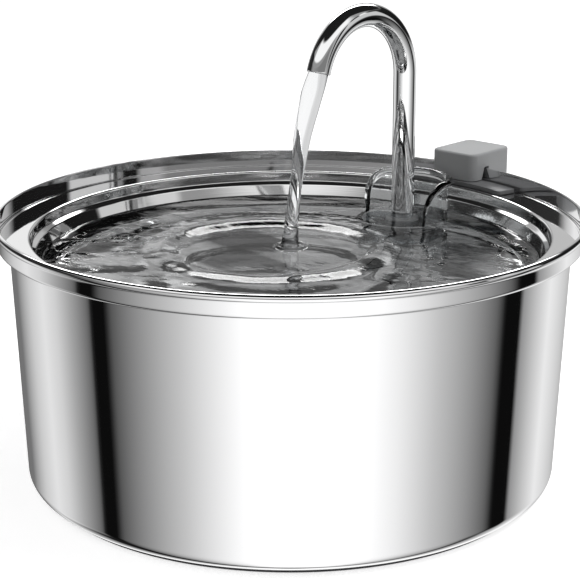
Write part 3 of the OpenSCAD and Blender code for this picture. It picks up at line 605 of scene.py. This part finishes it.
def waterHeight(x, y, s):
    cx, cy = s["ringCentre"]
    lx, ly = s["landing"]
    warp = s["warp"] * noise.noise(Vector((x * s["warpStep"], y * s["warpStep"], 1.7)))
    d = math.hypot(x - cx, y - cy) + warp
    h = ridge(d, *s["ring"]) + ridge(d, *s["trough"]) + ridge(d, *s["outer"])
    h += ridge(math.hypot(x - lx, y - ly), *s["crown"])
    t, step = math.radians(s["streakTurn"]), s["streakStep"]
    across, along = x * math.cos(t) + y * math.sin(t), -x * math.sin(t) + y * math.cos(t)
    wave = 0.0
    for share, stepAcross, stepAlong, seed in s["streakLayers"]:
        wave += share * noise.noise(Vector((across * step * stepAcross, along * step * stepAlong, seed)))
    left = s["weak"] + (1 - s["weak"]) * fade((across - s["weakFrom"]) / s["weakOver"])
    outside = s["weak"] + (1 - s["weak"]) * fade((s["ring"][1] - d) / s["insideOver"])
    h += s["streak"] * wave * left * outside
    h += s["swell"] * noise.noise(Vector((x * s["swellStep"], y * s["swellStep"], 3.0)))
    rim = max(0.0, 1 - (s["edge"] - math.hypot(x, y)) / s["creepWidth"])
    return h * (1 - rim * rim) + s["creep"] * rim ** 3

def waterMaterial(name, deep, light, bumpScale, bumpDepth, turned=0.0, paintedReflections=(), patchWarp=0.0):
    mat, tree, out = newMaterial(name)
    coord = objectPoint(tree)
    turn = addNode(tree, "ShaderNodeMapping", {"Vector": coord, "Rotation": (0, 0, -math.radians(turned)),
                                               "Scale": (1.0, 2.6, 1.0)}, vector_type="POINT").outputs[0]
    fine = addNoise(tree, Vector=turn, Scale=bumpScale, Detail=2.0, Distortion=0.5)
    # painted shade: noise streaks darken the water's colour where the ripples show dark reflections; deep is
    # the darkest painted shade, light the clearest tone
    paintedStreakShade = addNoise(tree, Vector=turn, Scale=20.0, Detail=2.5, Distortion=1.0)
    between = [(d + 3 * l) / 4 for d, l in zip(deep, light)]
    paintedShadeTint = addRamp(tree, paintedStreakShade, [(0.36, deep), (0.44, between), (0.6, light)])
    # each painted reflection mixes its tint over the water's colour, with a warped soft edge
    for centre, radius, soft, color in paintedReflections:
        ends = {0: coord, 1: centre}
        away = addNode(tree, "ShaderNodeVectorMath", ends, operation="DISTANCE").outputs["Value"]
        warp = addMath(tree, "MULTIPLY", addMath(tree, "SUBTRACT", paintedStreakShade, 0.5), patchWarp)
        reach = addMath(tree, "ADD", away, warp)
        part = addRange(tree, reach, radius - soft, radius + soft, 1.0, 0.0, ease="SMOOTHSTEP")
        paintedShadeTint = addMix(tree, part, paintedShadeTint, (*color, 1))
    addSurface(tree, out, {
        "Base Color": paintedShadeTint,
        "Roughness": 0.0,
        "Normal": addBump(tree, fine, 0.4, bumpDepth),
        "Transmission Weight": 1.0,
        "IOR": 1.333})
    return mat

def buildPool(s):
    verts, faces = [(0, 0, s["level"] + waterHeight(0, 0, s))], []
    n, t = s["rings"], s["turns"]
    for i in range(1, n + 1):
        r = s["edge"] * i / n
        for j in range(t):
            a = 2 * math.pi * j / t
            x, y = r * math.cos(a), r * math.sin(a)
            verts.append((x, y, s["level"] + waterHeight(x, y, s)))
    for j in range(t):
        faces.append((0, 1 + j, 1 + (j + 1) % t))
    for i in range(n - 1):
        a, b = 1 + i * t, 1 + (i + 1) * t
        for j in range(t):
            k = (j + 1) % t
            faces.append((a + j, b + j, b + k, a + k))
    # the pool's colour runs from painted dark shade at 0.3 to 0.85
    mat = waterMaterial("poolWater", (0.3, 0.305, 0.31), (0.85, 0.86, 0.865), 70.0, 0.4 * mm,
                        s["streakTurn"], s["paintedReflections"], s["patchWarp"])
    placePiece("waterPool", newMesh("waterPool", verts, faces), mat, "tray")

buildPool(pool)

# stream from the spout's mouth to the water
stream = {
    "base": (0.0, 76.5), "heading": (-0.0872, -0.9962),
    # how far out it is, how high, and its radius, in mm
    "path": [(52.2, 160.6, 3.9), (54.6, 154.6, 4.0), (58.1, 146.0, 3.8), (62.6, 132.7, 3.45),
             (65.0, 120.3, 3.1), (67.4, 107.8, 2.75), (69.0, 97.5, 2.7), (69.4, 93.2, 3.0), (69.4, 91.2, 3.6),
             (69.4, 89.6, 3.9)],
    "steps": 120, "sides": 48, "twist": 1.5, "squash": 0.17, "fold": 0.05, "tremble": 0.012,
}

def smoothAlong(points, t):
    n = len(points) - 1
    i = min(int(t * n), n - 1)
    u = t * n - i
    p = [points[max(0, min(n, i + k))] for k in (-1, 0, 1, 2)]
    place = []
    for a, b, c, d in zip(*p):
        rise = 2 * a - 5 * b + 4 * c - d
        place.append(0.5 * (2 * b + (c - a) * u + rise * u * u + (3 * b - a - 3 * c + d) * u ** 3))
    return place

def buildStream(s):
    verts, faces = [], []
    bx, by = s["base"]
    hx, hy = s["heading"]
    n = s["sides"]
    for i in range(s["steps"] + 1):
        t = i / s["steps"]
        out, z, r = smoothAlong(s["path"], t)
        flat = min(1, 6 * t) * min(1, max(0.0, 5 * (0.9 - t)))  # round at the mouth and at the foot
        for j in range(n):
            a = 2 * math.pi * j / n
            wide = 1 + s["squash"] * flat * math.cos(2 * (a - s["twist"] * t * math.pi))
            wide += s["fold"] * flat * math.cos(3 * a + 7 * t) + s["tremble"] * math.sin(31 * t + a)
            x, y = bx + hx * out + r * wide * math.cos(a), by + hy * out + r * wide * math.sin(a)
            verts.append((x * mm, y * mm, z * mm))
    for i in range(s["steps"]):
        for j in range(n):
            k = (j + 1) % n
            faces.append((i * n + k, i * n + j, (i + 1) * n + j, (i + 1) * n + k))
    faces.append(tuple(range(n)))
    faces.append(tuple(reversed(range(s["steps"] * n, (s["steps"] + 1) * n))))
    # faint painted shade streaks in the stream's colour
    mat = waterMaterial("streamWater", (0.86, 0.87, 0.88), (0.97, 0.975, 0.98), 40.0, 0.3 * mm)
    placePiece("waterStream", newMesh("waterStream", verts, faces), mat, "faucet")

buildStream(stream)
print("water running")


# clear housing round the faucet's foot, one profile per direction so that its edge can arch
housing = {
    "at": (0.0, 76.5, 74.0), "turned": 13.0, "wall": 19.3, "inside": 17.3,
    "back": 33.2, "shoulder": 22.0, "front": 14.6, "archBack": 8.76, "archFront": -4.01,
    "lipBack": 1.9, "lipEnd": 1.0, "lipFront": 0.15,
    "neck": (9.5, 11.5), "neckBottom": -14.0, "footBottom": 1.0, "foot": 14.8, "footTop": 3.0,
    "coneTop": 10.0, "archSteps": 24, "dropSteps": 8, "dropAngle": 1.6, "lipSteps": 14,
    "backSteps": 60, "frontSteps": 80,
    "socket": [(3, -21), (4.3, -21), (4.6, -20.6), (4.6, -12), (6.9, -12), (7.2, -11.7), (7.2, 5.7), (6.9, 6),
               (5.7, 6), (5.4, 5.7), (5.4, -8), (3, -8)],
    "socketSteps": 96, "spokes": (90, 210, 330), "spokeReach": (6.9, 9.8), "spokeWide": 1.8, "spokeDeep": 5.0,
}

def housingColumns(s):
    # angle, height and lip of the edge, once round: from the right-hand end over the back to the left
    right = []
    for i in range(s["archSteps"] + 1):
        t = math.radians(90 - 90 * i / s["archSteps"])
        side = s["archBack"] + (s["archFront"] - s["archBack"]) * math.sin(t)
        high = s["shoulder"] + (s["back"] + 0.2 - s["shoulder"]) * math.cos(t)
        lip = s["lipEnd"] + (s["lipBack"] - s["lipEnd"]) * math.cos(t) ** 0.7
        right.append((math.degrees(math.asin(side / s["wall"])), min(high, s["back"]), lip))
    # the steep drop at the end of the arch
    end, drop = right[0][0], []
    for i in range(s["dropSteps"]):
        part = i / s["dropSteps"]
        angle = end - s["dropAngle"] + s["dropAngle"] * (1 - math.cos(math.pi * part)) / 2
        drop.append((angle, s["front"] + (s["shoulder"] - s["front"]) * part,
                     s["lipFront"] + (s["lipEnd"] - s["lipFront"]) * part))
    right = drop + right
    left = [(180 - angle, high, lip) for angle, high, lip in reversed(right)]

    def between(start, end, steps, high, lip):
        return [(start + (end - start) * i / steps, high, lip) for i in range(1, steps)]

    back = between(right[-1][0], left[0][0], s["backSteps"], s["back"], s["lipBack"])
    front = between(left[-1][0], 360 + right[0][0], s["frontSteps"], s["front"], s["lipFront"])
    return right + back + left + front

def housingProfile(s, high, lip):
    # closed section: up the outside, over the rounded lip, down the inside
    rise = 1.1 + 0.45 * lip / s["lipBack"]
    wide = (s["wall"] - s["inside"] + lip) / 2
    mid = s["inside"] + wide
    a, b = s["neck"]
    bottom, under = s["neckBottom"], s["footBottom"]
    foot, footTop, cone, wall, inside = s["foot"], s["footTop"], s["coneTop"], s["wall"], s["inside"]
    points = [(a, bottom), (b - 0.3, bottom), (b, bottom + 0.3), (b, under - 0.4), (b + 0.4, under),
              (foot - 0.3, under), (foot, under + 0.3), (foot, footTop - 0.2), (foot + 0.2, footTop + 0.3),
              (wall - 0.15, cone - 0.3), (wall, cone + 0.2), (wall, high - 2.3 * rise)]
    for k in range(s["lipSteps"] + 1):
        t = math.radians(-70 + 250 * k / s["lipSteps"])
        r = mid + wide * math.cos(t)
        points.append((max(r, wall) if t < 0 else r, high - rise + rise * math.sin(t)))
    points += [(inside, high - 1.5 * rise), (inside, cone + 0.2), (inside - 0.15, cone - 0.3),
               (foot - 1.8, footTop + 0.2), (foot - 2.2, footTop), (a + 0.3, footTop), (a, footTop - 0.3)]
    return points

def buildHousing(s):
    verts, faces = [], []
    ox, oy, oz = s["at"]

    def put(r, angle, z, side=0.0):
        t = math.radians(angle)
        verts.append(((ox + r * math.cos(t) - side * math.sin(t)) * mm,
                      (oy + r * math.sin(t) + side * math.cos(t)) * mm, (oz + z) * mm))

    def ringFaces(first, count, rows):
        for i in range(count):
            for k in range(rows):
                a, b = first + i * rows + k, first + i * rows + (k + 1) % rows
                c, d = first + (i + 1) % count * rows + (k + 1) % rows, first + (i + 1) % count * rows + k
                faces.append((a, d, c, b))

    columns = housingColumns(s)
    for angle, high, lip in columns:
        profile = housingProfile(s, high, lip)
        for r, z in profile:
            put(r, angle - s["turned"], z)
    ringFaces(0, len(columns), len(profile))
    first = len(verts)
    for i in range(s["socketSteps"]):
        for r, z in s["socket"]:
            put(r, 360 * i / s["socketSteps"], z)
    ringFaces(first, s["socketSteps"], len(s["socket"]))
    # spokes that carry the socket in the neck
    half, deep = s["spokeWide"] / 2, s["spokeDeep"]
    outline = [(-half, -deep), (half, -deep), (half, -0.3), (0.7 * half, 0), (-0.7 * half, 0), (-half, -0.3)]
    for angle in s["spokes"]:
        first = len(verts)
        for r in s["spokeReach"]:
            for side, z in outline:
                put(r, angle, z, side)
        for k in range(6):
            faces.append((first + k, first + (k + 1) % 6, first + 6 + (k + 1) % 6, first + 6 + k))
        faces.append(tuple(range(first + 5, first - 1, -1)))
        faces.append(tuple(range(first + 6, first + 12)))
    piece = placePiece("housingShell", newMesh("housingShell", verts, faces), finishes["overflow_housing"],
                       "tray", 38)
    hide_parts("overflow_housing")

buildHousing(housing)
print("housing moulded")


# grey block that straddles the rim, and the plate under it
clip = {
    "angle": 86.5, "middle": 118.2, "long": 27.5, "wide": 23.0, "bottom": 101.9, "top": 113.9,
    "corner": 3.6, "edge": 1.1, "edgeSteps": 6, "chamfer": 0.35,
    "slot": [(111.1, 101.3), (113.3, 107.6), (116.4, 107.6), (116.4, 101.3)], "slotSpan": 9.0,
    "channel": 7.0, "channelIn": 108.95, "channelOut": 140, "channelLevels": (101.3, 111.0),
    "pegAt": 107.65, "pegStep": 7.0, "peg": 1.6, "pegLevels": (100.0, 103), "pegGap": 0.05,
    "plateIn": 103.3, "plateOut": 112.6, "plateHalf": 16.2, "plateBottom": 99.95, "plateTop": 101.8,
    "plateCorner": 1.5, "holeIn": 107.4, "holeOut": 116, "holeLevels": (99, 103),
}

def roundRect(length, width, corner, inset, steps=10):
    # outline with its long side along the radius, counter-clockwise
    a, b, r = length / 2 - inset, width / 2 - inset, max(corner - inset, 0.05)
    points = []
    for sx, sy, start in ((1, 1, 0), (-1, 1, 90), (-1, -1, 180), (1, -1, 270)):
        for k in range(steps + 1):
            t = math.radians(start + 90 * k / steps)
            points.append((sx * (a - r) + r * math.cos(t), sy * (b - r) + r * math.sin(t)))
    return points

def clipPoint(s, r, side, z):
    t = math.radians(s["angle"])
    return (r * math.cos(t) - side * math.sin(t)) * mm, (r * math.sin(t) + side * math.cos(t)) * mm, z * mm

def arcPrism(name, section, angle, span, steps=28):
    layers = []
    for i in range(steps + 1):
        t = math.radians(angle - span + 2 * span * i / steps)
        layers.append([(r * math.cos(t) * mm, r * math.sin(t) * mm, z * mm) for r, z in section])
    return loftMesh(name, layers)

def boxMesh(s, name, near, far, width, levels):
    half = width / 2
    corners = ((near, -half), (far, -half), (far, half), (near, half))
    return loftMesh(name, [[clipPoint(s, r, side, z) for r, side in corners] for z in levels])

def roundBar(s, name, r, side, radius, levels, steps=32):
    turns = [2 * math.pi * k / steps for k in range(steps)]
    circle = [(r + radius * math.cos(t), side + radius * math.sin(t)) for t in turns]
    return loftMesh(name, [[clipPoint(s, out, across, z) for out, across in circle] for z in levels])

def plateOutline(s, inset, steps=8, arc=40):
    # follows the flange: inner arc, two rounded corners, outer arc, two rounded corners
    mid, half = math.radians(s["angle"]), math.radians(s["plateHalf"])
    a, b, c = s["plateIn"] + inset, s["plateOut"] - inset, s["plateCorner"] - inset
    nearHalf, farHalf = half - (inset + c) / a, half - (inset + c) / b
    quarter = [math.pi / 2 * k / steps for k in range(steps + 1)]
    points = [(a, mid - nearHalf + 2 * nearHalf * k / arc) for k in range(arc + 1)]
    points += [(a + c - c * math.cos(t), mid + half - (inset + c - c * math.sin(t)) / a) for t in quarter[1:]]
    points += [(b - c + c * math.sin(t), mid + half - (inset + c - c * math.cos(t)) / b) for t in quarter]
    points += [(b, mid + farHalf * (1 - 2 * k / arc)) for k in range(1, arc + 1)]
    points += [(b - c + c * math.cos(t), mid - half + (inset + c - c * math.sin(t)) / b) for t in quarter[1:]]
    points += [(a + c - c * math.sin(t), mid - half + (inset + c - c * math.cos(t)) / a)
               for t in quarter[:-1]]
    return points[::-1]

def buildBlock(s):
    e, low, top = s["edge"], s["bottom"], s["top"]
    levels = [(low, s["chamfer"]), (low + s["chamfer"], 0.0)]
    for k in range(s["edgeSteps"] + 1):
        t = math.radians(90 * k / s["edgeSteps"])
        levels.append((top - e + e * math.sin(t), e * (1 - math.cos(t))))
    layers = []
    for z, inset in levels:
        outline = roundRect(s["long"], s["wide"], s["corner"], inset)
        layers.append([clipPoint(s, s["middle"] + u, v, z) for u, v in outline])
    rimSlot = arcPrism("slot", s["slot"], s["angle"], s["slotSpan"])
    channel = boxMesh(s, "channel", s["channelIn"], s["channelOut"], s["channel"], s["channelLevels"])
    tools = [("DIFFERENCE", rimSlot), ("DIFFERENCE", channel)]
    for side in (-s["pegStep"], s["pegStep"]):
        tools.append(("UNION", roundBar(s, "peg", s["pegAt"], side, s["peg"], s["pegLevels"])))
    mesh = cutMesh("rimClip", loftMesh("rimClip", layers), tools)
    piece = placePiece("rimClip", mesh, finishes["clip_block"], "clip", 32)
    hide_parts("clip_block")

def buildPlate(s):
    low, top = s["plateBottom"], s["plateTop"]
    layers = []
    for z, inset in ((low, 0.25), (low + 0.25, 0.0), (top - 0.35, 0.0), (top - 0.1, 0.12), (top, 0.35)):
        outline = plateOutline(s, inset)
        layers.append([(r * math.cos(t) * mm, r * math.sin(t) * mm, z * mm) for r, t in outline])
    tools = [("DIFFERENCE", boxMesh(s, "hole", s["holeIn"], s["holeOut"], s["channel"], s["holeLevels"]))]
    for side in (-s["pegStep"], s["pegStep"]):
        bar = roundBar(s, "pegHole", s["pegAt"], side, s["peg"] + s["pegGap"], s["holeLevels"])
        tools.append(("DIFFERENCE", bar))
    mesh = cutMesh("clipPlate", loftMesh("clipPlate", layers), tools)
    piece = placePiece("clipPlate", mesh, finishes["clip_plate"], "clip", 32)
    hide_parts("clip_plate")

buildBlock(clip)
buildPlate(clip)
print("clip made")
